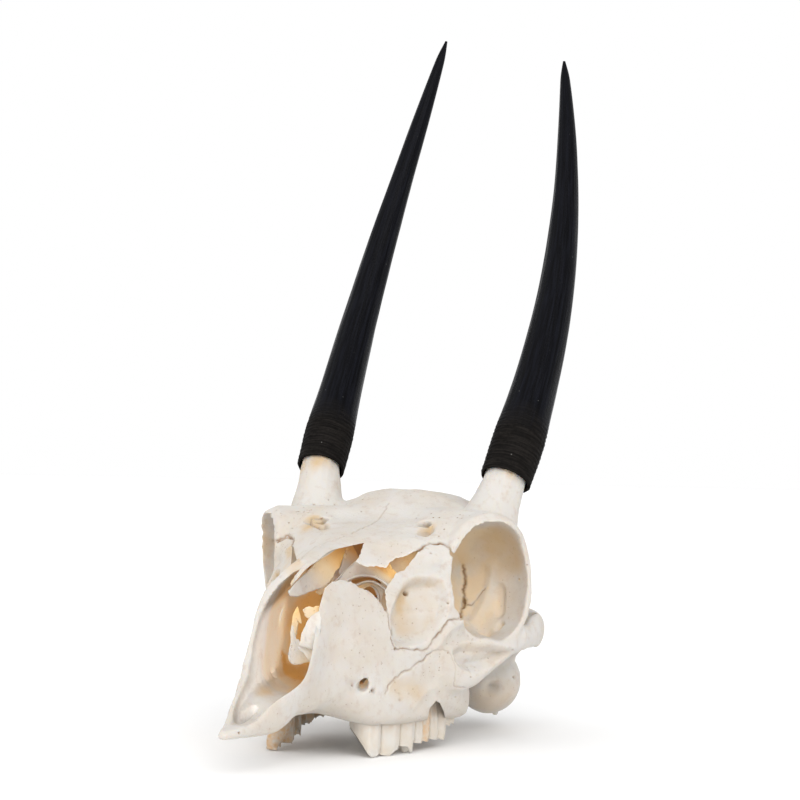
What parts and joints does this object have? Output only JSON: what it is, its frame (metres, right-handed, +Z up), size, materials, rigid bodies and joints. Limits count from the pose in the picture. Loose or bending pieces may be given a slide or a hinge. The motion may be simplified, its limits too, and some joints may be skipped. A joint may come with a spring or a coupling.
{
  "type": "antelope skull",
  "caption": "Small antelope skull without lower jaw: cream bone, open orbits, a missing left nasal bone, worn cheek teeth and slender black horns that curve back.",
  "frame": {"origin": "centre of the bounding box in X and Y, at the level that the worn cheek teeth stand on", "axes": "+Z up, -Y towards the snout tip, +X towards the animal's left side"},
  "size_m": [0.0764, 0.1671, 0.1915],
  "materials": {
    "bone": "dry matte bone",
    "keratin": "black horn, glossy above a dull base",
    "enamel": "satin tooth enamel"
  },
  "bodies": {
    "root": {"cranium": "bone", "horn_sheath_left": "keratin", "horn_sheath_right": "keratin", "premolar_2_left": "enamel", "premolar_3_left": "enamel", "premolar_4_left": "enamel", "molar_1_left": "enamel", "molar_2_left": "enamel", "molar_3_left": "enamel", "premolar_2_right": "enamel", "premolar_3_right": "enamel", "premolar_4_right": "enamel", "molar_1_right": "enamel", "molar_2_right": "enamel", "molar_3_right": "enamel"}
  },
  "joints": []
}
